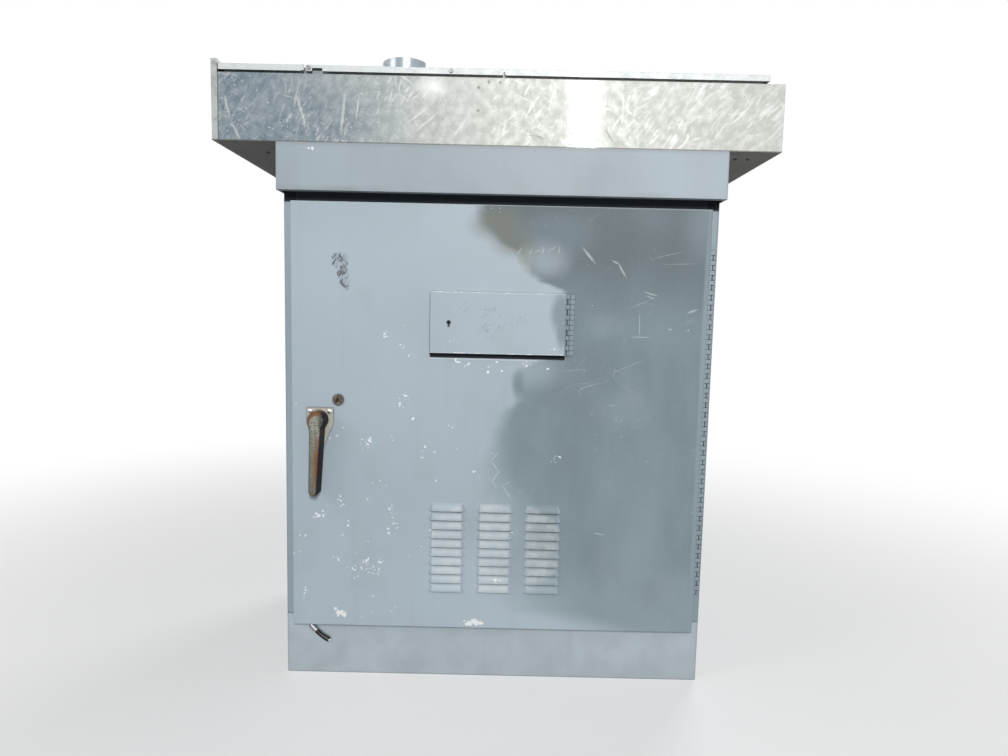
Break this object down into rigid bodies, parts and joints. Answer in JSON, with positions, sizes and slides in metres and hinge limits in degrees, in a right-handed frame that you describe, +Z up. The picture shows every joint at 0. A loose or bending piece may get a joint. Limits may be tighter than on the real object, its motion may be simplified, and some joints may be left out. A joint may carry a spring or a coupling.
{
  "type": "roadside utility cabinet",
  "caption": "Grey sheet-metal roadside control cabinet with a louvred, hinged door, lever handle, small access door, deep hood and a bare aluminium housing on its roof.",
  "frame": {"origin": "centre of the anchor pattern, on the underside of the base", "axes": "+Z up, front and door face -Y, +X to the right as seen from the front"},
  "size_m": [1.4059, 0.7368, 1.6315],
  "materials": {
    "body_paint": "weathered grey enamel over sheet aluminium",
    "frame_metal": "plain mill finish",
    "mill_aluminium": "mill finish with swirled scratches",
    "hinge_steel": "painted over with the body, worn at the knuckles",
    "plated_steel": "zinc plated",
    "handle_metal": "old chrome, rusted through",
    "plate_metal": "painted over, worn",
    "cast_zinc": "cast, dull",
    "lock_brass": "dark, tarnished",
    "gasket_rubber": "matt closed-cell foam",
    "filter_paper": "dusty pleated filter",
    "nylon": "natural nylon",
    "black_plastic": "moulded",
    "terminal_plastic": "moulded",
    "lead_metal": "bright, scuffed",
    "lead_rubber": "smooth black sleeve"
  },
  "bodies": {
    "cabinet": {"left_side_panel": "body_paint", "right_side_panel": "body_paint", "back_panel": "body_paint", "sill_panel": "body_paint", "door_header": "body_paint", "door_frame": "frame_metal", "base_flange": "frame_metal", "hood": "body_paint", "eave_screen": "frame_metal", "roof_box_shell": "mill_aluminium", "roof_box_end_plate": "mill_aluminium", "left_lid": "mill_aluminium", "middle_lid": "mill_aluminium", "right_lid": "mill_aluminium", "vent_collar": "mill_aluminium", "hinge_frame_leaf": "hinge_steel", "hinge_pin": "hinge_steel", "equipment_rails": "frame_metal", "lower_shelf": "frame_metal", "upper_shelf": "frame_metal", "ceiling_panel": "frame_metal", "fan_housing": "black_plastic", "mounting_panel": "frame_metal", "power_panel": "frame_metal", "breaker_case": "black_plastic", "terminal_blocks": "terminal_plastic", "lead_ferrule": "lead_metal", "lead_stub": "lead_rubber"},
    "door": {"main_door": "body_paint", "hinge_door_leaf": "hinge_steel", "door_gasket": "gasket_rubber", "door_stiffeners": "frame_metal", "filter_frame": "mill_aluminium", "air_filter": "filter_paper", "handle_plate": "plate_metal", "shaft_bearing": "cast_zinc", "rod_guides": "nylon", "lock_case": "cast_zinc", "access_hinge_leaf": "hinge_steel", "access_hinge_pin": "hinge_steel", "switch_compartment": "frame_metal", "switch_bodies": "black_plastic"},
    "handle": {"door_handle": "handle_metal", "handle_shaft": "plated_steel", "latch_cam": "plated_steel"},
    "upper_rod": {"upper_latch_rod": "plated_steel"},
    "lower_rod": {"lower_latch_rod": "plated_steel"},
    "upper_wheel": {"upper_roller": "nylon"},
    "lower_wheel": {"lower_roller": "nylon"},
    "plug": {"lock_plug": "lock_brass"},
    "bolt": {"lock_bolt": "plated_steel"},
    "access": {"access_door": "body_paint", "access_door_leaf": "hinge_steel", "access_lock_case": "cast_zinc"},
    "access_cam": {"access_lock_cam": "plated_steel"},
    "toggle_left": {"left_toggle": "plated_steel"},
    "toggle_right": {"right_toggle": "plated_steel"},
    "fan": {"fan_rotor": "black_plastic"},
    "breaker": {"breaker_lever": "black_plastic"}
  },
  "joints": [
    {"name": "door_swing", "type": "hinge", "parent": "cabinet", "child": "door", "pos_m": [0.549, -0.3347, 0.7025], "axis": [0, 0, 1], "range_deg": [0, 165]},
    {"name": "handle_turn", "type": "hinge", "parent": "door", "child": "handle", "pos_m": [-0.459, -0.3139, 0.705], "axis": [0, -1, 0], "range_deg": [0, 90]},
    {"name": "upper_rod_slide", "type": "slide", "parent": "door", "child": "upper_rod", "axis": [0, 0, 1], "range_m": [0, 0.03537]},
    {"name": "lower_rod_slide", "type": "slide", "parent": "door", "child": "lower_rod", "axis": [0, 0, -1], "range_m": [0, 0.03537]},
    {"name": "upper_roller_spin", "type": "hinge", "parent": "upper_rod", "child": "upper_wheel", "pos_m": [-0.447, -0.3139, 1.2065], "axis": [1, 0, 0], "continuous": true},
    {"name": "lower_roller_spin", "type": "hinge", "parent": "lower_rod", "child": "lower_wheel", "pos_m": [-0.471, -0.3139, 0.2035], "axis": [1, 0, 0], "continuous": true},
    {"name": "lock_turn", "type": "hinge", "parent": "door", "child": "plug", "pos_m": [-0.412, -0.3233, 0.755], "axis": [0, 1, 0], "range_deg": [0, 90]},
    {"name": "lock_bolt_slide", "type": "slide", "parent": "door", "child": "bolt", "axis": [-1, 0, 0], "range_m": [0, 0.01203]},
    {"name": "access_swing", "type": "hinge", "parent": "door", "child": "access", "pos_m": [0.177, -0.3599, 0.9605], "axis": [0, 0, 1], "range_deg": [0, 115]},
    {"name": "access_lock_turn", "type": "hinge", "parent": "access", "child": "access_cam", "pos_m": [-0.1276, -0.35323, 0.961], "axis": [0, 1, 0], "range_deg": [0, 90]},
    {"name": "left_toggle_tilt", "type": "hinge", "parent": "door", "child": "toggle_left", "pos_m": [-0.01845, -0.27382, 0.9605], "axis": [-1, 0, 0], "range_deg": [0, 30]},
    {"name": "right_toggle_tilt", "type": "hinge", "parent": "door", "child": "toggle_right", "pos_m": [0.07155, -0.27382, 0.9605], "axis": [-1, 0, 0], "range_deg": [0, 30]},
    {"name": "fan_spin", "type": "hinge", "parent": "cabinet", "child": "fan", "pos_m": [0, 0, 1.23], "axis": [0, 0, 1], "continuous": true},
    {"name": "breaker_throw", "type": "hinge", "parent": "cabinet", "child": "breaker", "pos_m": [0.19, 0.24452, 1], "axis": [-1, 0, 0], "range_deg": [0, 50]}
  ],
  "couplings": [
    {"joint": "upper_rod_slide", "follows": "handle_turn", "m_per_rad": 0.022508},
    {"joint": "lower_rod_slide", "follows": "handle_turn", "m_per_rad": 0.022508},
    {"joint": "lock_bolt_slide", "follows": "lock_turn", "m_per_rad": 0.0076527}
  ]
}
